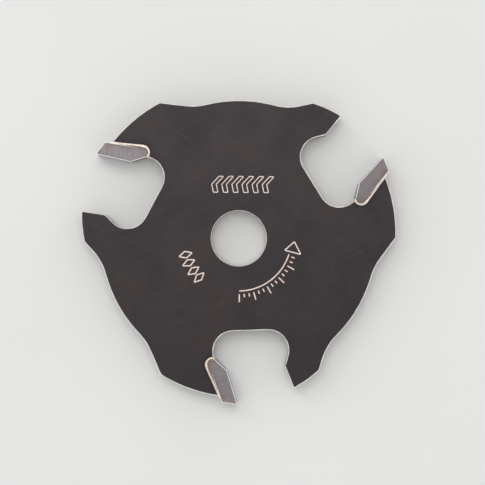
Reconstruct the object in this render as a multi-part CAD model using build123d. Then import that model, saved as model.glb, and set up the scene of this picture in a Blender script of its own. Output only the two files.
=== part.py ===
from build123d import *
from math import cos, radians, sin, tan
import os

os.makedirs("parts", exist_ok=True)

# Three-wing slot cutter disc. Millimetres and degrees.
# Origin: centre of the bore, halfway through the plate. +Z: out of the marked face.
# Seen from +Z the cutter turns counter-clockwise, and each cutting corner leads its wing.

# size of the cutter
tip_circle_r = 23.81      # cutting corners, 1-7/8 in over the tips
bore_r = 3.97             # for a 5/16 in arbor
plate_t = 2.4             # thickness of the steel body
kerf = 3.18               # width of the slot it cuts, 1/8 in
wings = 3
first_wing = 30           # where the first cutting corner points
edge_break = 0.14         # chamfer round the body's outline
bore_break = 0.06         # chamfer at both ends of the bore

# body outline of one wing, drawn with its cutting corner at 270 degrees
land_mid_r = 22.75        # outer edge behind the tip, at its middle
land_mid = 252.4
land_back_r = 22.60       # the same edge where it ends
land_end = 240.7
land_round = 0.8
crown_r = 19.85           # relieved edge between land and nose
crown_start = 228.1
crown_end = 190.4
crown_fillet = 8.0
nose_start_r = 22.22      # the nose of the next wing, which limits the bite
nose_start = 301.8
nose_mid_r = 22.66
nose_mid = 295.5
nose_tip_r = 22.97
nose_tip = 290.5
notch_r = 19.45
notch = 290.3
gullet_right = (8.19, -12.98)
gullet_left = (-4.06, -13.46)
gullet_fillet = 2.88
wall_foot = (-2.43, -22.71)  # where the edge meets the tip
small_round = 0.3

# seat ground into the body for the tip
seat_mouth = (-3.42, -17.07)
seat_corner = (-5.07, -17.50)
seat_heel = (-2.78, -22.67)
seat_fillet = 1.05
seat_run_out = 1.5        # the cutter leaves the seat this far past its ends
seat_outside = (1.5, -24.5)

# carbide tip
rake = 17.8               # hook of the cutting face, from the radius
rake_h = 4.86             # radial height of the cutting face
tip_toe = (-3.33, -17.34)
tip_corner = (-4.49, -17.67)
tip_heel = (-2.20, -23.54)
tip_fillet = 0.7
side_back = 2.5           # side clearance, measured back from the cutting edge
side_in = 1.5             # side clearance, measured in towards the bore

# braze
braze_rise = 0.10         # how far it climbs the tip above the plate
braze_mouth = (-3.50, -16.95)
braze_land = (-3.12, -22.55)
braze_heel = (-2.25, -23.22)
in_steel = [(-6.0, -16.6), (-6.0, -19.0), (-3.9, -22.0)]
in_tip = (-1.9, -20.5)


def polar(r, deg):
    return Vector(r * cos(radians(deg)), r * sin(radians(deg)))


def turned(shape, wing):
    return Rot(0, 0, first_wing - 270 + 360 / wings * wing) * shape


def beyond(a, b, extra):
    """The point past b on the line from a to b."""
    a, b = Vector(a), Vector(b)
    return b + (b - a).normalized() * extra


def region(*points):
    return make_face(Polyline(*points, close=True))


def corner(shape, point):
    return shape.vertices().sort_by_distance(Vector(point))[0]


# ---- cutter body: blank, bore, and the three seats ----
outline = []
for wing in range(wings):
    rise = Line(polar(crown_r, crown_end + 120), polar(nose_start_r, nose_start))
    nose = ThreePointArc(rise @ 1, polar(nose_mid_r, nose_mid), polar(nose_tip_r, nose_tip))
    gullet = Polyline(
        nose @ 1,
        polar(notch_r, notch),
        gullet_right,
        gullet_left,
        wall_foot,
    )
    land = ThreePointArc(wall_foot, polar(land_mid_r, land_mid), polar(land_back_r, land_end))
    ramp = Line(polar(land_back_r, land_end), polar(crown_r, crown_start))
    crown = CenterArc((0, 0), crown_r, crown_start, crown_end - crown_start)
    parts = [rise, nose, *gullet.edges(), land, ramp, crown]
    outline += [turned(e, wing) for e in parts]

blank_face = make_face(outline)
rounds = [
    (polar(crown_r, crown_start), crown_fillet),
    (polar(crown_r, crown_end), crown_fillet),
    (polar(land_back_r, land_end), land_round),
    (polar(nose_start_r, nose_start), small_round),
    (polar(nose_tip_r, nose_tip), small_round),
    (polar(notch_r, notch), small_round),
    (Vector(gullet_right), gullet_fillet),
    (Vector(gullet_left), gullet_fillet),
]
for point, radius in rounds:
    spots = [turned(Vertex(point), wing).center() for wing in range(wings)]
    blank_face = fillet([corner(blank_face, spot) for spot in spots], radius)

blank = extrude(blank_face, plate_t / 2, both=True)
rims = [e for e in blank.edges() if abs(abs(e.center().Z) - plate_t / 2) < 1e-4]
blank = chamfer(rims, edge_break)

bore = Cylinder(bore_r, plate_t)
blank -= bore
bore_rims = blank.edges().filter_by(GeomType.CIRCLE)
blank = chamfer([e for e in bore_rims if abs(e.radius - bore_r) < 1e-4], bore_break)

pocket = region(
    beyond(seat_corner, seat_mouth, seat_run_out),
    seat_corner,
    beyond(seat_corner, seat_heel, seat_run_out),
    seat_outside,
)
pocket = fillet(corner(pocket, seat_corner), seat_fillet)
body = blank
for wing in range(wings):
    body -= turned(extrude(pocket, plate_t, both=True), wing)
export_step(body, "parts/cutter_body.step")

# ---- carbide tip: a ground blade, widest at its cutting corner ----
cutting_corner = Vector(0, -tip_circle_r)
bend = cutting_corner + Vector(-rake_h * tan(radians(rake)), rake_h)
tip_face = region(cutting_corner, bend, tip_toe, tip_corner, tip_heel)
tip_face = fillet(corner(tip_face, tip_corner), tip_fillet)
tip = extrude(tip_face, kerf / 2, both=True)
for side in (1, -1):
    slope = Vector(-tan(radians(side_back)), tan(radians(side_in)), side)
    flank = Plane(cutting_corner + Vector(0, 0, side * kerf / 2), z_dir=slope)
    tip = split(tip, bisect_by=flank, keep=Keep.BOTTOM)

# ---- braze seam: fills the joint and climbs the tip a little on both faces ----
# The joint's outline runs through the steel and the tip. Both are taken away from it below.
joint = region(
    tip_toe,
    braze_mouth,
    *in_steel,
    braze_land,
    braze_heel,
    in_tip,
)
seam_face = joint & pocket
seam = extrude(seam_face, plate_t / 2 + braze_rise, both=True)
seat_line = pocket.face().outer_wire()
seat_edges = []
for e in seam.edges():
    middle = e.position_at(0.5)
    on_seat = seat_line.distance_to(Vertex(middle.X, middle.Y, 0)) < 1e-4
    if abs(middle.Z) > plate_t / 2 and on_seat:
        seat_edges.append(e)
seam = chamfer(seat_edges, braze_rise)
heel_fillet = extrude(joint - pocket - blank_face, plate_t / 2 - edge_break, both=True)
braze = seam + heel_fillet - extrude(tip_face, kerf, both=True)

for wing in range(wings):
    export_step(turned(tip, wing), f"parts/carbide_tip_{wing + 1}.step")
    export_step(turned(braze, wing), f"parts/braze_seam_{wing + 1}.step")
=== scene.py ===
# %% [markdown]
# # A three-wing slot cutter disc
# The object is a flat steel disc with three wings. Each wing carries a carbide tip, brazed into a
# seat in its leading side. It slips over an arbor through the bore and cuts slots in wood.
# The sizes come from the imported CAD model, the frame. This script adds what the CAD leaves out:
# engraved marks, worn edges, the wavy braze beads, and a finish for every surface.
# All lengths are in metres, and `mm` turns millimetres into them.

# %% Load the frame and look at its sizes
import math
import bmesh
import bpy
from mathutils import Matrix, Vector


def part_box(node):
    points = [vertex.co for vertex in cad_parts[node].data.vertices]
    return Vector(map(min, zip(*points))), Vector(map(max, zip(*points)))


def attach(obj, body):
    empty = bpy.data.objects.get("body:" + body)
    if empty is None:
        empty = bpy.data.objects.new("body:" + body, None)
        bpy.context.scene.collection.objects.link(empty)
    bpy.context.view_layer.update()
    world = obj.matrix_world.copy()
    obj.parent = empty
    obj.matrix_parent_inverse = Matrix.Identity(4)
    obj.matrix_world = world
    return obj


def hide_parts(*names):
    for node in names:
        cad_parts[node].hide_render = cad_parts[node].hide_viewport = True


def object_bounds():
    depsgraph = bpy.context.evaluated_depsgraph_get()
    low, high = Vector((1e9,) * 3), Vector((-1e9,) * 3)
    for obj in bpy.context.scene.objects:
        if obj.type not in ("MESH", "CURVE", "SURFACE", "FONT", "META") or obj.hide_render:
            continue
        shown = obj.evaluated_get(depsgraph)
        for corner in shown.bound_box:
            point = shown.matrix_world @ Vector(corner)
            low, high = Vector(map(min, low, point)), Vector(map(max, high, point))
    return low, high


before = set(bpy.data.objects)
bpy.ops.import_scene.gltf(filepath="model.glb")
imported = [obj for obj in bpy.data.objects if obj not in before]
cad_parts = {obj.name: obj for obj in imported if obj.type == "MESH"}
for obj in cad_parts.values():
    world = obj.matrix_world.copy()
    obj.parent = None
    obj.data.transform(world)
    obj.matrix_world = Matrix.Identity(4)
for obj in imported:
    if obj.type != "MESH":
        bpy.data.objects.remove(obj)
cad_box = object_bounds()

mm = 0.001
body_low, body_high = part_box("cutter_body")
face_z = body_high.z                      # the marked face of the plate
floor_z = cad_box[0].z
wing_angles = [30, 150, 270]              # where the three cutting corners point
print("plate thickness, mm:", round((body_high.z - body_low.z) / mm, 2))
print("over the tips, mm:", [round(side / mm, 2) for side in cad_box[1] - cad_box[0]])

# %% [markdown]
# ## Places on a wing
# The three wings are the same shape, turned by 120 degrees. So a place on a wing is written once,
# in millimetres, for the wing whose cutting corner points straight down, and turned to the others.

# %% Helpers for places
def wing_turn(corner_angle):
    """The turn that takes the downward wing to the wing at corner_angle."""
    return Matrix.Rotation(math.radians(corner_angle - 270), 3, "Z")


def on_wing(corner_angle, x, y, z):
    return wing_turn(corner_angle) @ Vector((x, y, z)) * mm


def polar(r, degrees):
    turn = math.radians(degrees)
    return Vector((r * math.cos(turn), r * math.sin(turn), 0.0)) * mm


def rounded(start, corner, end, radius, steps):
    """Points from start to end that go round the corner on an arc."""
    start, corner, end = Vector(start), Vector(corner), Vector(end)
    back, ahead = (start - corner).normalized(), (end - corner).normalized()
    half_angle = back.angle(ahead) / 2
    centre = corner + (back + ahead).normalized() * radius / math.sin(half_angle)
    first = corner + back * radius / math.tan(half_angle)
    last = corner + ahead * radius / math.tan(half_angle)
    arc = [centre + (first - centre).slerp(last - centre, step / steps) for step in range(steps + 1)]
    return [start, *arc, end]


# the joint between seat and tip, along its middle
seam = rounded((-3.40, -17.21), (-4.79, -17.57), (-2.56, -22.88), radius=0.88, steps=4)
print("seam points, mm:", [(round(p.x, 2), round(p.y, 2)) for p in seam])

# %% [markdown]
# ## Small helpers for node trees
# A material and a geometry tool are both trees of nodes. Three short helpers keep the trees easy
# to read: one makes a group with named sockets, one adds a node with its settings and inputs, and
# one spreads a value over a range. A noise keeps mostly between 0.3 and 0.7, so spreading that
# part of it over 0 to 1 brings out its full contrast.

# %% Node helpers
KINDS = {
    "value": "NodeSocketFloat",
    "vector": "NodeSocketVector",
    "geometry": "NodeSocketGeometry",
    "object": "NodeSocketObject",
    "material": "NodeSocketMaterial",
}


def new_group(name, tree_type, inputs, outputs):
    """A node group. inputs: name -> (kind, default). outputs: name -> kind."""
    tree = bpy.data.node_groups.new(name, tree_type)
    for label, (kind, default) in inputs.items():
        socket = tree.interface.new_socket(label, in_out="INPUT", socket_type=KINDS[kind])
        if default is not None:
            socket.default_value = default
    for label, kind in outputs.items():
        tree.interface.new_socket(label, in_out="OUTPUT", socket_type=KINDS[kind])
    start = tree.nodes.new("NodeGroupInput")
    end = tree.nodes.new("NodeGroupOutput")
    return tree, start, end


def add(tree, node_type, settings=None, inputs=None):
    """A node with its settings and inputs. An input is a number, a vector or another socket."""
    node = tree.nodes.new(node_type)
    for label, value in (settings or {}).items():
        setattr(node, label, value)
    for label, value in (inputs or {}).items():
        if isinstance(value, bpy.types.NodeSocket):
            tree.links.new(value, node.inputs[label])
        else:
            node.inputs[label].default_value = value
    return node


def maths(tree, operation, *values):
    node = add(tree, "ShaderNodeMath", {"operation": operation}, dict(enumerate(values)))
    return node.outputs[0]


def vector_maths(tree, operation, *values):
    node = add(tree, "ShaderNodeVectorMath", {"operation": operation}, dict(enumerate(values)))
    return node.outputs["Value" if operation in ("DOT_PRODUCT", "LENGTH") else "Vector"]


def ramp(tree, value, low, high, to_low=0.0, to_high=1.0, smooth=True):
    """value, spread from low..high to to_low..to_high and held at both ends."""
    settings = {"interpolation_type": "SMOOTHSTEP" if smooth else "LINEAR"}
    sizes = {"Value": value, "From Min": low, "From Max": high, "To Min": to_low, "To Max": to_high}
    return add(tree, "ShaderNodeMapRange", settings, sizes).outputs["Result"]


# A Mix node has a set of sockets for each kind of data, under the same names, so the colour ones
# are reached by number.
MIX_FACTOR, MIX_A, MIX_B, MIX_RESULT = 0, 6, 7, 2


def blend_colours(tree, amount, first, second):
    node = add(tree, "ShaderNodeMix", {"data_type": "RGBA"}, {MIX_FACTOR: amount})
    for number, value in ((MIX_A, first), (MIX_B, second)):
        if isinstance(value, bpy.types.NodeSocket):
            tree.links.new(value, node.inputs[number])
        else:
            node.inputs[number].default_value = (*value, 1.0)
    return node.outputs[MIX_RESULT]


def layered(tree, colour, layers):
    """The colour with each layer (mask, amount, tint) laid over it in turn."""
    for mask, amount, tint in layers:
        colour = blend_colours(tree, maths(tree, "MULTIPLY", mask, amount), colour, tint)
    return colour


print("kinds of group socket:", sorted(KINDS))

# %% [markdown]
# ## Shared effects
# Steel, carbide and braze all show the same few things at their own scale: soft patches of tone,
# the fine lines a grinding wheel leaves, a stain where brazing heated the metal, and hairline
# scratches from handling. On the plate the stain beside the seams is also painted shade. Each
# effect is one shader group, placed in the materials that need it.

# %% Soft patches of tone
patches, start, end = new_group(
    "soft patches", "ShaderNodeTree",
    {"Place": ("vector", None), "Patch Size": ("value", 0.004)},
    {"Patch": "value"},
)
per_metre = maths(patches, "DIVIDE", 1.0, start.outputs["Patch Size"])
cloud = add(patches, "ShaderNodeTexNoise", {"noise_dimensions": "3D"}, {
    "Vector": start.outputs["Place"], "Scale": per_metre, "Detail": 3.0, "Roughness": 0.55,
})
patches.links.new(ramp(patches, cloud.outputs["Fac"], 0.32, 0.68), end.inputs["Patch"])
print("effect:", patches.name, "nodes:", len(patches.nodes))

# %% Fine lines from a grinding wheel
grind, start, end = new_group(
    "grinding lines", "ShaderNodeTree",
    {
        "Place": ("vector", None),
        "Direction": ("value", 0.0),
        "Line Width": ("value", 0.0001),
        "Line Length": ("value", 0.004),
    },
    {"Line": "value"},
)
turned = add(grind, "ShaderNodeVectorRotate", {"rotation_type": "Z_AXIS"}, {
    "Vector": start.outputs["Place"],
    "Angle": maths(grind, "MULTIPLY", start.outputs["Direction"], -1.0),
})
along = maths(grind, "DIVIDE", 1.0, start.outputs["Line Length"])
across = maths(grind, "DIVIDE", 1.0, start.outputs["Line Width"])
squeeze = add(grind, "ShaderNodeCombineXYZ", None, {"X": along, "Y": across, "Z": across})
squeezed = vector_maths(grind, "MULTIPLY", turned.outputs["Vector"], squeeze.outputs["Vector"])
lines = add(grind, "ShaderNodeTexNoise", None, {"Vector": squeezed, "Scale": 1.0, "Detail": 2.0})
grind.links.new(ramp(grind, lines.outputs["Fac"], 0.3, 0.7), end.inputs["Line"])
print("effect:", grind.name, "nodes:", len(grind.nodes))

# %% Any place, brought to the downward wing
same_wing, start, end = new_group(
    "same wing", "ShaderNodeTree",
    {"Place": ("vector", None)},
    {"Wing Place": "vector", "Turn": "value"},
)
split_place = add(same_wing, "ShaderNodeSeparateXYZ", None, {0: start.outputs["Place"]})
bearing = maths(same_wing, "ARCTAN2", split_place.outputs["Y"], split_place.outputs["X"])
down, half_wing = -math.pi / 2, math.pi / 3
in_wing = maths(same_wing, "WRAP", bearing, down + half_wing, down - half_wing)
turn = maths(same_wing, "SUBTRACT", in_wing, bearing)
brought = add(same_wing, "ShaderNodeVectorRotate", {"rotation_type": "Z_AXIS"}, {
    "Vector": start.outputs["Place"], "Angle": turn,
})
same_wing.links.new(brought.outputs["Vector"], end.inputs["Wing Place"])
same_wing.links.new(turn, end.inputs["Turn"])
print("effect:", same_wing.name, "nodes:", len(same_wing.nodes))

# %% Heat stain, and painted shade on the plate: strongest on the seam, gone at Reach from it
heat, start, end = new_group(
    "brazing heat", "ShaderNodeTree",
    {"Wing Place": ("vector", None), "Reach": ("value", 0.001)},
    {"Heat": "value"},
)
flat = vector_maths(heat, "MULTIPLY", start.outputs["Wing Place"], (1.0, 1.0, 0.0))
nearest = None
for first, last in zip(seam, seam[1:]):
    first, run = first.to_3d() * mm, (last - first).to_3d() * mm
    offset = vector_maths(heat, "SUBTRACT", flat, first)
    share = maths(heat, "DIVIDE", vector_maths(heat, "DOT_PRODUCT", offset, run), run.length_squared)
    share = ramp(heat, share, 0.0, 1.0, smooth=False)
    foot = add(heat, "ShaderNodeVectorMath", {"operation": "SCALE"}, {0: run, "Scale": share})
    gap = vector_maths(heat, "SUBTRACT", offset, foot.outputs["Vector"])
    distance = vector_maths(heat, "LENGTH", gap)
    nearest = distance if nearest is None else maths(heat, "MINIMUM", nearest, distance)
least_reach, most_reach = 0.6, 1.3        # the border of the stain wanders between these
waver = add(heat, "ShaderNodeTexNoise", None, {"Vector": flat, "Scale": 900.0, "Detail": 2.0})
uneven = ramp(heat, waver.outputs["Fac"], 0.3, 0.7, least_reach, most_reach)
fade = maths(heat, "DIVIDE", nearest, maths(heat, "MULTIPLY", start.outputs["Reach"], uneven))
heat.links.new(ramp(heat, fade, 0.0, 1.0, 1.0, 0.0), end.inputs["Heat"])
print("effect:", heat.name, "nodes:", len(heat.nodes))

# %% Hairline scratches
hairlines, start, end = new_group(
    "hairline scratches", "ShaderNodeTree",
    {"Place": ("vector", None), "Spacing": ("value", 0.002)},
    {"Scratch": "value"},
)
scratch_directions = (0.5, 1.9, 2.7)      # three turns about Z that share no line
along_rate, across_rate = 0.2, 14.0       # noise cells per spacing: few along, many across
rarely, surely = 0.75, 0.79               # only the noise's highest crests are scratches
along = maths(hairlines, "DIVIDE", along_rate, start.outputs["Spacing"])
across = maths(hairlines, "DIVIDE", across_rate, start.outputs["Spacing"])
stretch = add(hairlines, "ShaderNodeCombineXYZ", None, {"X": along, "Y": across, "Z": across})
scratch = None
for direction in scratch_directions:
    turned = add(hairlines, "ShaderNodeVectorRotate", {"rotation_type": "Z_AXIS"}, {
        "Vector": start.outputs["Place"], "Angle": direction,
    })
    place = vector_maths(hairlines, "MULTIPLY", turned.outputs["Vector"], stretch.outputs["Vector"])
    strand = add(hairlines, "ShaderNodeTexNoise", None, {"Vector": place, "Scale": 1.0, "Detail": 1.0})
    cut = ramp(hairlines, strand.outputs["Fac"], rarely, surely)
    scratch = cut if scratch is None else maths(hairlines, "MAXIMUM", scratch, cut)
hairlines.links.new(scratch, end.inputs["Scratch"])

print("shared effects:", [group.name for group in bpy.data.node_groups])

# %% [markdown]
# ## Finishes
# Each finish is one Principled shader. The helper below makes the material and gives back its
# tree, its shader, and a place vector in metres, fixed to the object.

# %% Start a finish
def new_finish(name):
    material = bpy.data.materials.new(name)
    material.use_nodes = True
    tree = material.node_tree
    shader = tree.nodes["Principled BSDF"]
    place = add(tree, "ShaderNodeTexCoord").outputs["Object"]
    return material, tree, shader, place


def effect(tree, group, **inputs):
    """A shared effect placed in a material: its first output. Underscores stand for spaces."""
    spaced = {label.replace("_", " "): value for label, value in inputs.items()}
    return add(tree, "ShaderNodeGroup", {"node_tree": group}, spaced).outputs[0]


def painted_on(tree, attribute):
    """A mask stored on the faces of a piece: 1 on the faces that carry it."""
    return add(tree, "ShaderNodeAttribute", {"attribute_name": attribute}).outputs["Fac"]


def bumped(tree, shader, height, distance, strength):
    bump = add(tree, "ShaderNodeBump", None, {
        "Height": height, "Distance": distance, "Strength": strength,
    })
    tree.links.new(bump.outputs["Normal"], shader.inputs["Normal"])


print("effects to place:", [group.name for group in (patches, grind, same_wing, heat, hairlines)])

# %% [markdown]
# ### Blackened steel
# The plate is surface-ground, then blackened in a hot oxide bath. The coat is thin and satin, a
# warm near-black with cooler patches. It wears off the edges and is cut through by the engraving,
# so masks stored on the faces bring back bare steel there. The cut sides show upright lines.

# %% Blackened steel: its patterns
blackened, tree, shader, place = new_finish("blackened_steel")
patch = effect(tree, patches, Place=place, Patch_Size=6 * mm)
speckle = effect(tree, patches, Place=place, Patch_Size=0.9 * mm)
pits = effect(tree, patches, Place=place, Patch_Size=0.14 * mm)
grain = effect(tree, grind, Place=place, Direction=math.radians(24),
               Line_Width=0.09 * mm, Line_Length=4 * mm)
nick = effect(tree, hairlines, Place=place, Spacing=1.6 * mm)
heat_stain_and_shade = effect(tree, heat, Wing_Place=effect(tree, same_wing, Place=place), Reach=1.2 * mm)
print("patterns:", [node.node_tree.name for node in tree.nodes if node.type == "GROUP"])


# %% Blackened steel: lines on the upright sides
def streaks(x, y, z):
    """A noise whose cells have these sizes, in metres, along x, y and z."""
    squeezed = vector_maths(tree, "MULTIPLY", place, (1 / x, 1 / y, 1 / z))
    noise = add(tree, "ShaderNodeTexNoise", None, {"Vector": squeezed, "Scale": 1.0, "Detail": 2.0})
    return ramp(tree, noise.outputs["Fac"], 0.3, 0.7)


saw_line, ream_line = 1 / 9000, 1 / 14000  # widths of the lines, in metres
upright_lines = streaks(saw_line, saw_line, 1 / 260)
ring_lines = streaks(1 / 350, 1 / 350, ream_line)
print("line widths, mm:", round(saw_line / mm, 2), round(ream_line / mm, 2))

# %% Blackened steel: colours and masks
edge_mask = painted_on(tree, "worn_edge")
side_mask = painted_on(tree, "cut_side")
bore_mask = painted_on(tree, "reamed")
mark_mask = painted_on(tree, "engraved")
scorch_mask = painted_on(tree, "scorched")

coat = blend_colours(tree, patch, (0.0375, 0.0268, 0.0280), (0.0295, 0.0248, 0.0272))
coat = layered(tree, coat, [
    (speckle, 0.22, (0.050, 0.040, 0.041)),
    (grain, 0.22, (0.060, 0.052, 0.052)),
    (pits, 0.18, (0.020, 0.016, 0.016)),
    (nick, 0.14, (0.15, 0.14, 0.135)),
    # near-black beside the braze seams: partly heat stain, partly painted shade next to the bead
    (heat_stain_and_shade, 0.45, (0.016, 0.010, 0.009)),
])
bare_side = blend_colours(tree, upright_lines, (0.19, 0.175, 0.167), (0.28, 0.265, 0.255))
bare_edge = blend_colours(tree, speckle, (0.62, 0.60, 0.57), (0.80, 0.78, 0.75))
bare_bore = blend_colours(tree, ring_lines, (0.46, 0.44, 0.42), (0.76, 0.74, 0.71))
frosted_mark = blend_colours(tree, pits, (0.66, 0.57, 0.52), (0.95, 0.86, 0.80))
scorch = blend_colours(tree, speckle, (0.085, 0.028, 0.018), (0.140, 0.060, 0.040))
colour = coat
for mask, finish in (
    (side_mask, bare_side), (edge_mask, bare_edge), (bore_mask, bare_bore),
    (scorch_mask, scorch), (mark_mask, frosted_mark),
):
    colour = blend_colours(tree, mask, colour, finish)
tree.links.new(colour, shader.inputs["Base Color"])
print("masks on the disc:", [n.attribute_name for n in tree.nodes if n.type == "ATTRIBUTE"])

# %% Blackened steel: gloss, metal and relief
rough = 0.38
for pattern, amount in ((patch, 0.08), (pits, 0.05), (nick, -0.10), (mark_mask, 0.15)):
    rough = maths(tree, "ADD", rough, maths(tree, "MULTIPLY", pattern, amount))
tree.links.new(rough, shader.inputs["Roughness"])

bare = maths(tree, "MAXIMUM", maths(tree, "MAXIMUM", side_mask, edge_mask), bore_mask)
metal = ramp(tree, bare, 0.0, 1.0, 0.6, 1.0, smooth=False)
metal = maths(tree, "SUBTRACT", metal, maths(tree, "MULTIPLY", mark_mask, 0.3))
tree.links.new(metal, shader.inputs["Metallic"])

relief = maths(tree, "MULTIPLY", grain, 0.6)
for pattern, amount in (
    (nick, -1.0), (pits, 0.4),
    (maths(tree, "MULTIPLY", upright_lines, side_mask), 2.0),
    (maths(tree, "MULTIPLY", ring_lines, bore_mask), 2.0),
):
    relief = maths(tree, "ADD", relief, maths(tree, "MULTIPLY", pattern, amount))
bumped(tree, shader, relief, distance=0.004 * mm, strength=0.8)
print("finish:", blackened.name)

# %% [markdown]
# ### Ground carbide
# The tips are tungsten carbide, ground on a diamond wheel. They are a mid grey with a faint
# lavender and pink cast, crossed by fine wheel lines, and browned where the braze heated them.
# The "same wing" group turns every tip's places to the downward wing, so the wheel lines cross
# each tip the same way, and a shift for each wing keeps the three patterns apart.

# %% Ground carbide
carbide, tree, shader, place = new_finish("ground_carbide")
wing_place = effect(tree, same_wing, Place=place)
turn = wing_place.node.outputs["Turn"]
far_apart = (0.02, 0.02, 0.0)             # how far the patterns move for each radian of turn
shift = add(tree, "ShaderNodeVectorMath", {"operation": "SCALE"}, {0: far_apart, "Scale": turn})
own_place = vector_maths(tree, "ADD", wing_place, shift.outputs["Vector"])
across_tip = math.radians(25)
wheel = effect(tree, grind, Place=own_place, Direction=across_tip,
               Line_Width=0.09 * mm, Line_Length=3.5 * mm)
broad = effect(tree, grind, Place=own_place, Direction=across_tip,
               Line_Width=0.6 * mm, Line_Length=6 * mm)
cast = effect(tree, patches, Place=own_place, Patch_Size=1.7 * mm)
grit = effect(tree, patches, Place=own_place, Patch_Size=0.35 * mm)
heat_stain_and_shade = effect(tree, heat, Wing_Place=wing_place, Reach=1.1 * mm)

colour = blend_colours(tree, cast, (0.192, 0.190, 0.212), (0.264, 0.194, 0.202))
colour = layered(tree, colour, [
    (broad, 0.45, (0.186, 0.196, 0.188)),
    (wheel, 0.50, (0.295, 0.278, 0.282)),
    (grit, 0.15, (0.14, 0.13, 0.13)),
    (heat_stain_and_shade, 0.75, (0.170, 0.128, 0.105)),
    (painted_on(tree, "worn_edge"), 1.0, (0.86, 0.85, 0.82)),
])
tree.links.new(colour, shader.inputs["Base Color"])
tree.links.new(ramp(tree, wheel, 0.0, 1.0, 0.52, 0.40), shader.inputs["Roughness"])
shader.inputs["Metallic"].default_value = 0.85
bumped(tree, shader, maths(tree, "ADD", wheel, grit), distance=0.003 * mm, strength=0.5)
print("finish:", carbide.name)

# %% [markdown]
# ### Silver braze
# Silver brazing alloy freezes into a pale, creamy metal with a rippled skin. It is clean in the
# middle of the seam and tarnished brown where it runs out thin on the steel and the carbide, so
# the heat effect, given a short reach, tells the one from the other.

# %% Silver braze
braze, tree, shader, place = new_finish("silver_braze")
ripple = effect(tree, patches, Place=place, Patch_Size=0.35 * mm)
pool = effect(tree, patches, Place=place, Patch_Size=1.4 * mm)
clean = effect(tree, heat, Wing_Place=effect(tree, same_wing, Place=place), Reach=0.23 * mm)
clean = ramp(tree, clean, 0.10, 0.50)
tarnish = (0.24, 0.165, 0.135)
colour = blend_colours(tree, pool, (0.80, 0.69, 0.60), (0.87, 0.80, 0.72))
colour = layered(tree, colour, [(ripple, 0.30, (0.60, 0.48, 0.40))])
tree.links.new(blend_colours(tree, clean, tarnish, colour), shader.inputs["Base Color"])
tree.links.new(ramp(tree, ripple, 0.0, 1.0, 0.36, 0.5), shader.inputs["Roughness"])
shader.inputs["Metallic"].default_value = 0.75
bumped(tree, shader, ripple, distance=0.02 * mm, strength=0.7)
print("finish:", braze.name)

# %% [markdown]
# ## Solid copies to work on
# A CAD node's mesh is loose triangles and must stay as it is. To bevel it or cut into it, its
# triangles are joined, and flat neighbours are merged into whole faces, on a copy that stands in
# for the node. A new mesh drops the imported normals, which would no longer fit.

# %% Copy a CAD node
same_spot, same_plane = 1e-7, math.radians(0.5)


def joined_copy(node, name):
    work = bmesh.new()
    work.from_mesh(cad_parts[node].data)
    bmesh.ops.remove_doubles(work, verts=work.verts, dist=same_spot)
    bmesh.ops.dissolve_limit(work, angle_limit=same_plane, verts=work.verts, edges=work.edges)
    work.verts.index_update()
    corners = [vert.co.copy() for vert in work.verts]
    rings = [[vert.index for vert in face.verts] for face in work.faces]
    work.free()
    mesh = bpy.data.meshes.new(name)
    mesh.from_pydata(corners, [], rings)
    piece = bpy.data.objects.new(name, mesh)
    bpy.context.scene.collection.objects.link(piece)
    return piece


level_face = 0.999                        # how far the normal of a level face rises along Z


def soften_shading(mesh, sharp_degrees=30):
    """Smooth shading on rounds, with level faces and every real corner kept crisp."""
    work = bmesh.new()
    work.from_mesh(mesh)
    for face in work.faces:
        face.smooth = abs(face.normal.z) < level_face
    for edge in work.edges:
        edge.smooth = edge.is_manifold and edge.calc_face_angle(0) < math.radians(sharp_degrees)
    work.to_mesh(mesh)
    work.free()


def paint_faces(mesh, attribute, belongs):
    """Stores 1 on each face for which belongs(face) is true, 0 on the rest."""
    layer = mesh.attributes.new(attribute, "FLOAT", "FACE")
    for face, mask in zip(mesh.polygons, layer.data):
        mask.value = 1.0 if belongs(face) else 0.0
    print(attribute, "on", sum(mask.value > 0 for mask in layer.data), "faces")


def count_islands(mesh, attribute):
    """How many separate patches the painted faces form, joined through shared corners."""
    masks = mesh.attributes[attribute].data
    painted = [set(face.vertices) for face, mask in zip(mesh.polygons, masks) if mask.value]
    islands = []
    for corners in painted:
        touching = [island for island in islands if island & corners]
        islands = [island for island in islands if not island & corners]
        islands.append(corners.union(*touching))
    return len(islands)


def is_manifold(mesh):
    work = bmesh.new()
    work.from_mesh(mesh)
    closed = all(edge.is_manifold for edge in work.edges)
    work.free()
    return closed


disc = joined_copy("cutter_body", "disc")
print("disc faces:", len(disc.data.polygons), "closed:", is_manifold(disc.data))

# %% [markdown]
# ## Marks on the face
# The real disc carries engraved marks: a badge above the bore, a long row on an arc at the lower
# right and a short row at the lower left. Here they are plain signs that belong to no maker:
# chevrons that point the way the disc turns, a turning arrow with a scale, and four batch
# diamonds. Each stroke is drawn as a line on the face, in millimetres. The badge has finer strokes
# than the rows, so every stroke also carries its weight, 1 for a full stroke.

# %% Draw the strokes
strokes = []                              # (points, closed, weight)
badge_weight, row_weight = 0.75, 1.0


def chevron(x, y, width, height, lean):
    """A chevron whose two arms meet in a point at the left, both leaning over to the right."""
    half_height, half_width = height / 2, width / 2
    slant = lean * half_height
    points = [
        (x + slant + half_width, y + half_height), (x + slant, y + half_height), (x - half_width, y),
        (x - slant, y - half_height), (x - slant + half_width, y - half_height), (x, y),
    ]
    strokes.append(([Vector((px, py, 0)) * mm for px, py in points], True, badge_weight))


badge_left, badge_middle, badge_pitch = -3.3, 7.75, 1.45
for step in range(6):
    chevron(badge_left + badge_pitch * step, badge_middle, width=1.3, height=2.3, lean=0.35)

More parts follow.
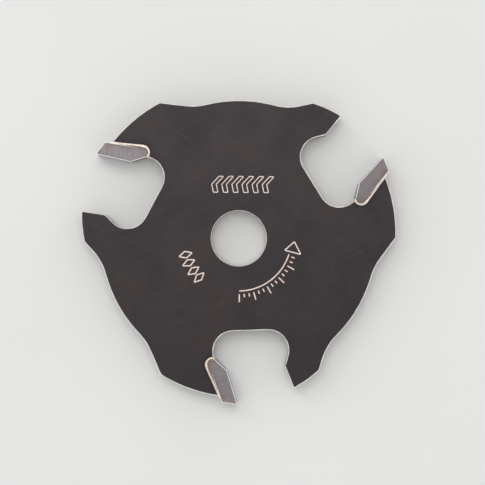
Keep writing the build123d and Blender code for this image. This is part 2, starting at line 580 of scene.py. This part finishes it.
row_r = 8.0                               # both rows lie on this radius, in millimetres
arrow_start, arrow_neck, arrow_tip = 271, 346, 357
half_head, shaft_drop = 1.2, 0.45
arc_step = 3                              # degrees between the points of the arrow's shaft
shaft = [polar(row_r - shaft_drop, turn) for turn in range(arrow_start, arrow_neck, arc_step)]
head = [
    polar(row_r - half_head, arrow_neck), polar(row_r, arrow_tip), polar(row_r + half_head, arrow_neck),
]
strokes += [(shaft, False, row_weight), (head, True, row_weight)]

long_tick, short_tick, tick_pitch = 1.15, 0.5, 5
for count, turn in enumerate(range(arrow_start, arrow_neck, tick_pitch)):
    reach = long_tick if count % 3 == 0 else short_tick
    strokes.append(([polar(row_r, turn), polar(row_r + reach, turn)], False, row_weight))

half_tall, half_broad = 1.0, 3.5          # of a diamond: millimetres outwards, degrees along
for turn in (197.5, 206.5, 216, 225):
    diamond = [
        polar(row_r - half_tall, turn), polar(row_r, turn + half_broad),
        polar(row_r + half_tall, turn), polar(row_r, turn - half_broad),
    ]
    strokes.append((diamond, True, row_weight))
print("strokes:", len(strokes))

# %% Turn the strokes into one curve object
drawing = bpy.data.curves.new("mark_strokes", "CURVE")
drawing.dimensions = "3D"
for points, closed, weight in strokes:
    spline = drawing.splines.new("POLY")
    spline.points.add(len(points) - 1)
    spline.use_cyclic_u = closed
    for spot, point in zip(spline.points, points):
        spot.co = (point.x, point.y, face_z, 1.0)
        spot.radius = weight
marks = bpy.data.objects.new("mark_strokes", drawing)
bpy.context.scene.collection.objects.link(marks)
print("splines:", len(drawing.splines))

# %% [markdown]
# ## Engrave them
# A laser burns each stroke as a shallow groove with a bare floor and scorched, sloping walls.
# Geometry Nodes can do the same: round the strokes' corners a little, sweep a small trapezium along
# them, scaled by each stroke's weight, and take the swept solid out of the plate. The widths and
# the depth are inputs, so the groove can be changed in one place.

# %% The engraving tool
groove_depth = 0.03 * mm
engrave, start, end = new_group(
    "engrave strokes", "GeometryNodeTree",
    {
        "Geometry": ("geometry", None),
        "Strokes": ("object", None),
        "Floor Width": ("value", 0.17 * mm),
        "Mouth Width": ("value", 0.31 * mm),
        "Groove Depth": ("value", groove_depth),
        "Corner Radius": ("value", 0.07 * mm),
        "Finish": ("material", None),
    },
    {"Geometry": "geometry"},
)
drawn = add(engrave, "GeometryNodeObjectInfo", {"transform_space": "ORIGINAL"}, {
    "Object": start.outputs["Strokes"],
})
upward = add(engrave, "GeometryNodeSetCurveNormal", {"mode": "Z_UP"}, {
    "Curve": drawn.outputs["Geometry"],
})
softened = add(engrave, "GeometryNodeFilletCurve", {"mode": "POLY"}, {
    "Curve": upward.outputs["Curve"], "Radius": start.outputs["Corner Radius"],
    "Limit Radius": True, "Count": 3,
})
# The trapezium hangs upside down, with its top as the groove's floor. It reaches as far above the
# face as below it, so its widest side is wider than the groove's mouth.
twice_mouth = maths(engrave, "MULTIPLY", start.outputs["Mouth Width"], 2.0)
section = add(engrave, "GeometryNodeCurvePrimitiveQuadrilateral", {"mode": "TRAPEZOID"}, {
    "Top Width": start.outputs["Floor Width"],
    "Bottom Width": maths(engrave, "SUBTRACT", twice_mouth, start.outputs["Floor Width"]),
    "Height": maths(engrave, "MULTIPLY", start.outputs["Groove Depth"], 2.0),
    "Offset": 0.0,
})
cutter = add(engrave, "GeometryNodeCurveToMesh", None, {
    "Curve": softened.outputs["Curve"], "Profile Curve": section.outputs["Curve"],
    "Scale": add(engrave, "GeometryNodeInputRadius").outputs["Radius"], "Fill Caps": True,
})
cut_plate = add(engrave, "GeometryNodeMeshBoolean", {"operation": "DIFFERENCE", "solver": "EXACT"}, {
    "Mesh 1": start.outputs["Geometry"], "Mesh 2": cutter.outputs["Mesh"], "Self Intersection": True,
})
whole = add(engrave, "GeometryNodeRealizeInstances", None, {"Geometry": cut_plate.outputs["Mesh"]})
finished = add(engrave, "GeometryNodeSetMaterial", None, {
    "Geometry": whole.outputs["Geometry"], "Material": start.outputs["Finish"],
})
engrave.links.new(finished.outputs["Geometry"], end.inputs["Geometry"])
print("tool:", engrave.name, "nodes:", len(engrave.nodes))


# %% Run the tool on the disc
def made_by_tool(piece, tool, **inputs):
    """The plain mesh that a geometry tool makes of a piece. Leaves no modifier behind."""
    modifier = piece.modifiers.new(tool.name, "NODES")
    modifier.node_group = tool
    sockets = [item for item in tool.interface.items_tree if item.in_out == "INPUT"]
    identifiers = {socket.name: socket.identifier for socket in sockets}
    for label, value in inputs.items():
        modifier[identifiers[label.replace("_", " ")]] = value
    bpy.context.view_layer.update()
    graph = bpy.context.evaluated_depsgraph_get()
    made = bpy.data.meshes.new_from_object(piece.evaluated_get(graph))
    made.name = piece.name
    piece.modifiers.remove(modifier)
    return made


disc.data = made_by_tool(disc, engrave, Strokes=marks, Finish=blackened)
bpy.data.objects.remove(marks)
print("engraved disc: faces", len(disc.data.polygons), "closed:", is_manifold(disc.data))

# %% [markdown]
# ## Which faces show which finish
# The chamfers and the reamed bore are worn bright. The upright sides show the cut. The floor of
# each groove is bare, frosted metal and its walls are brown. All of these can be told from where
# a face lies and how it faces, so each mask is one short rule.

# %% Mask the disc's faces
past_bore = 4.2 * mm                      # a little more than the bore's radius
level, sloping, upright = 0.99, 0.9, 0.3  # how far a face's normal rises along Z


def depth_of(face):
    """How deep a face lies under the marked face, in groove depths."""
    return (face_z - face.center.z) / groove_depth


def is_groove_floor(face):
    return face.normal.z > level and 0.5 < depth_of(face) < 1.2


def is_groove_wall(face):
    return sloping < face.normal.z < level and 0.0 < depth_of(face) < 1.0


def is_chamfer(face):
    return upright < abs(face.normal.z) < sloping


def is_bore(face):
    return abs(face.normal.z) < upright and face.center.to_2d().length < past_bore


def is_side(face):
    below_grooves = abs(face.center.z) < face_z - 2 * groove_depth
    return abs(face.normal.z) < upright and below_grooves and not is_bore(face)


paint_faces(disc.data, "engraved", is_groove_floor)
paint_faces(disc.data, "scorched", is_groove_wall)
print("separate grooves:", count_islands(disc.data, "engraved"), "of", len(strokes))
paint_faces(disc.data, "worn_edge", is_chamfer)
paint_faces(disc.data, "reamed", is_bore)
paint_faces(disc.data, "cut_side", is_side)
soften_shading(disc.data, sharp_degrees=15)
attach(disc, "root")
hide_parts("cutter_body")

# %% [markdown]
# ## Carbide tips
# The CAD tip has knife-sharp corners all round. A real ground tip has a tiny polished flat along
# every corner, and that is what catches the light. So each tip gets a narrow bevel, and the bevel
# faces carry the worn-edge mask.

# %% Make the tips
tip_bevel = 0.10 * mm
real_corner = math.radians(20)            # sharper turns than this get the flat


def make_tip(number):
    piece = joined_copy(f"carbide_tip_{number}", f"tip_{number}")
    work = bmesh.new()
    work.from_mesh(piece.data)
    worn = work.faces.layers.float.new("worn_edge")
    corners = [edge for edge in work.edges if edge.calc_face_angle(0) > real_corner]
    bevelled = bmesh.ops.bevel(
        work, geom=corners, offset=tip_bevel, segments=1, affect="EDGES", clamp_overlap=True,
    )["faces"]
    for face in bevelled:
        face[worn] = 1.0
    work.to_mesh(piece.data)
    work.free()
    soften_shading(piece.data)
    piece.data.materials.append(carbide)
    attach(piece, "root")
    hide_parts(f"carbide_tip_{number}")
    return piece


tips = [make_tip(number) for number in (1, 2, 3)]
print("tips:", [(tip.name, len(tip.data.polygons), is_manifold(tip.data)) for tip in tips])

# %% [markdown]
# ## Braze beads
# The CAD gives the braze that fills the joint. On the real disc it also stands up in a soft,
# uneven bead on both faces, widest at the inner end where the alloy pooled. A bead follows a path
# and varies by a rule, so Geometry Nodes sweep a flattened round along the seam, swell it with
# noise, and roughen its skin. One tool makes all six beads.

# %% The bead tool: its sizes
bead, start, end = new_group(
    "braze bead", "GeometryNodeTree",
    {
        "Geometry": ("geometry", None),
        "Step": ("value", 0.06 * mm),
        "Half Width Inner": ("value", 0.17 * mm),
        "Half Width Outer": ("value", 0.075 * mm),
        "Half Height": ("value", 0.13 * mm),
        "Unevenness": ("value", 0.16),
        "Seed": ("value", 0.0),
        "Finish": ("material", None),
    },
    {"Geometry": "geometry"},
)
print("tool:", bead.name, "inputs:", len(start.outputs) - 1)

# %% The bead tool: path and width
bead_wave, skin_grain = 1100.0, 5200.0    # noise cells to a metre: slow swells, fine skin
upward = add(bead, "GeometryNodeSetCurveNormal", {"mode": "Z_UP"}, {
    "Curve": start.outputs["Geometry"],
})
spaced = add(bead, "GeometryNodeResampleCurve", {"mode": "LENGTH"}, {
    "Curve": upward.outputs["Curve"], "Length": start.outputs["Step"],
})
along = add(bead, "GeometryNodeSplineParameter").outputs["Factor"]
where = add(bead, "GeometryNodeInputPosition").outputs["Position"]
swell = add(bead, "ShaderNodeTexNoise", {"noise_dimensions": "4D"}, {
    "Vector": where, "W": start.outputs["Seed"], "Scale": bead_wave, "Detail": 2.0,
})
sway = ramp(bead, swell.outputs["Fac"], 0.25, 0.75, -1.0, 1.0, smooth=False)
wave = maths(bead, "MULTIPLY", sway, start.outputs["Unevenness"])
inner, outer = start.outputs["Half Width Inner"], start.outputs["Half Width Outer"]
taper = add(bead, "ShaderNodeMapRange", None, {"Value": along, "To Min": inner, "To Max": outer})
swollen = maths(bead, "MULTIPLY", taper.outputs["Result"], maths(bead, "ADD", wave, 1.0))
from_ends = maths(bead, "MULTIPLY", along, maths(bead, "SUBTRACT", 1.0, along))
end_round = ramp(bead, from_ends, 0.0, 0.02, 0.35, 1.0)
radius = maths(bead, "MULTIPLY", swollen, end_round)
print("tool:", bead.name, "nodes for its path:", len(bead.nodes))

# %% The bead tool: sweep and skin
ring = add(bead, "GeometryNodeCurvePrimitiveCircle", None, {"Resolution": 16, "Radius": 1.0})
squash = maths(bead, "DIVIDE", start.outputs["Half Height"], inner)
squash_by = add(bead, "ShaderNodeCombineXYZ", None, {"X": 1.0, "Y": squash, "Z": 1.0})
oval = add(bead, "GeometryNodeTransform", None, {
    "Geometry": ring.outputs["Curve"], "Scale": squash_by.outputs["Vector"],
})
swept = add(bead, "GeometryNodeCurveToMesh", None, {
    "Curve": spaced.outputs["Curve"], "Profile Curve": oval.outputs["Geometry"],
    "Scale": radius, "Fill Caps": True,
})
skin = add(bead, "ShaderNodeTexNoise", {"noise_dimensions": "4D"}, {
    "Vector": where, "W": start.outputs["Seed"], "Scale": skin_grain, "Detail": 2.0,
})
skin_depth = 0.012 * mm
out_by = ramp(bead, skin.outputs["Fac"], 0.2, 0.8, -skin_depth, skin_depth, smooth=False)
outward = add(bead, "GeometryNodeInputNormal").outputs["Normal"]
push = add(bead, "ShaderNodeVectorMath", {"operation": "SCALE"}, {0: outward, "Scale": out_by})
rough_skin = add(bead, "GeometryNodeSetPosition", None, {
    "Geometry": swept.outputs["Mesh"], "Offset": push.outputs["Vector"],
})
smooth = add(bead, "GeometryNodeSetShadeSmooth", None, {"Geometry": rough_skin.outputs["Geometry"]})
whole = add(bead, "GeometryNodeRealizeInstances", None, {"Geometry": smooth.outputs["Geometry"]})
finished = add(bead, "GeometryNodeSetMaterial", None, {
    "Geometry": whole.outputs["Geometry"], "Material": start.outputs["Finish"],
})
bead.links.new(finished.outputs["Geometry"], end.inputs["Geometry"])
print("tool:", bead.name, "nodes in all:", len(bead.nodes))

# %% Lay a bead on both faces of each seam
bead_level = face_z / mm - 0.01           # a bead's middle, so that it lies half sunk


def make_beads(number, corner_angle):
    path = bpy.data.curves.new(f"bead_path_{number}", "CURVE")
    path.dimensions = "3D"
    for side in (1, -1):
        spline = path.splines.new("POLY")
        spline.points.add(len(seam) - 1)
        for spot, point in zip(spline.points, seam):
            spot.co = (*on_wing(corner_angle, point.x, point.y, side * bead_level), 1.0)
    path_object = bpy.data.objects.new(f"bead_path_{number}", path)
    bpy.context.scene.collection.objects.link(path_object)
    mesh = made_by_tool(path_object, bead, Seed=3.0 * number, Finish=braze)
    bpy.data.objects.remove(path_object)
    return mesh


beads = [make_beads(number + 1, angle) for number, angle in enumerate(wing_angles)]
print("bead tool made:", [(one.name, len(one.polygons), is_manifold(one)) for one in beads])

# %% Stand the beads on the CAD braze
for number, mesh in enumerate(beads, start=1):
    piece = bpy.data.objects.new(f"braze_bead_{number}", mesh)
    bpy.context.scene.collection.objects.link(piece)
    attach(piece, "root")
    for material_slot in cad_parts[f"braze_seam_{number}"].material_slots:
        material_slot.material = braze
print("braze nodes have the finish", braze.name)

# %% [markdown]
# ## The stage
# The disc lies flat on a plain pale floor. A large soft panel hangs above it, a little towards the
# top of the disc, so that the satin plate is brighter there. A smaller panel at the upper left
# gives the edges a gentle shadow.

# %% Floor
half_floor = 1.2
round_floor = ((-1, -1), (1, -1), (1, 1), (-1, 1))
floor_corners = [(x * half_floor, y * half_floor, floor_z) for x, y in round_floor]
floor_mesh = bpy.data.meshes.new("floor")
floor_mesh.from_pydata(floor_corners, [], [(0, 1, 2, 3)])
floor = bpy.data.objects.new("floor", floor_mesh)
bpy.context.scene.collection.objects.link(floor)
paper, tree, shader, place = new_finish("pale_floor")
cloudy = effect(tree, patches, Place=place, Patch_Size=50 * mm)
pale = blend_colours(tree, cloudy, (0.80, 0.80, 0.79), (0.82, 0.82, 0.81))
tree.links.new(pale, shader.inputs["Base Color"])
shader.inputs["Roughness"].default_value = 0.9
floor_mesh.materials.append(paper)
print("floor at z, mm:", round(floor_z / mm, 2))


# %% Lights
def soft_panel(name, place, size, brightness):
    """A square area light aimed at the bore. brightness is the radiance of its face."""
    data = bpy.data.lights.new(name, "AREA")
    data.shape = "SQUARE"
    data.size = size
    data.energy = brightness * math.pi * size * size
    panel = bpy.data.objects.new(name, data)
    panel.location = place
    panel.rotation_euler = (-Vector(place)).to_track_quat("-Z", "Y").to_euler()
    bpy.context.scene.collection.objects.link(panel)
    return panel


overhead = soft_panel("overhead_panel", (-0.05, 0.18, 0.5), size=0.4, brightness=1.8)
key = soft_panel("key_panel", (-0.5, 0.45, 0.5), size=0.25, brightness=2.8)
print("lights:", overhead.name, key.name)

# %% The room's own light: brighter near the horizon than overhead
world = bpy.data.worlds.new("studio")
world.use_nodes = True
tree = world.node_tree
direction = add(tree, "ShaderNodeTexCoord").outputs["Generated"]
upwards = add(tree, "ShaderNodeSeparateXYZ", None, {0: direction}).outputs["Z"]
low_sky, high_sky = 0.1, 0.7              # how far a direction rises along Z
low_glow, high_glow = 1.5, 0.5
glow = ramp(tree, upwards, low_sky, high_sky, low_glow, high_glow)
tree.links.new(glow, tree.nodes["Background"].inputs["Strength"])
tree.nodes["Background"].inputs["Color"].default_value = (1.0, 1.0, 1.0, 1.0)
bpy.context.scene.world = world
bpy.context.scene.view_settings.view_transform = "Standard"
print("room light from", low_glow, "to", high_glow)

# %% [markdown]
# ## Camera
# The camera looks straight down on the marked face, from close to above the bore.

# %% Camera
view_width = 69.6 * mm
aim_x, aim_y = 0.54 * mm, -0.59 * mm
camera_turn = 0.48                        # degrees, so the disc lies very slightly askew
camera_data = bpy.data.cameras.new("camera")
camera_data.lens = 100
camera_data.sensor_width = 36
camera_data.clip_start = 0.01
camera = bpy.data.objects.new("camera", camera_data)
height = view_width * camera_data.lens / camera_data.sensor_width
camera.location = (aim_x, aim_y, face_z + height)
camera.rotation_euler = (0, 0, math.radians(camera_turn))
bpy.context.scene.collection.objects.link(camera)
bpy.context.scene.camera = camera
print("camera height, mm:", round(height / mm, 1))
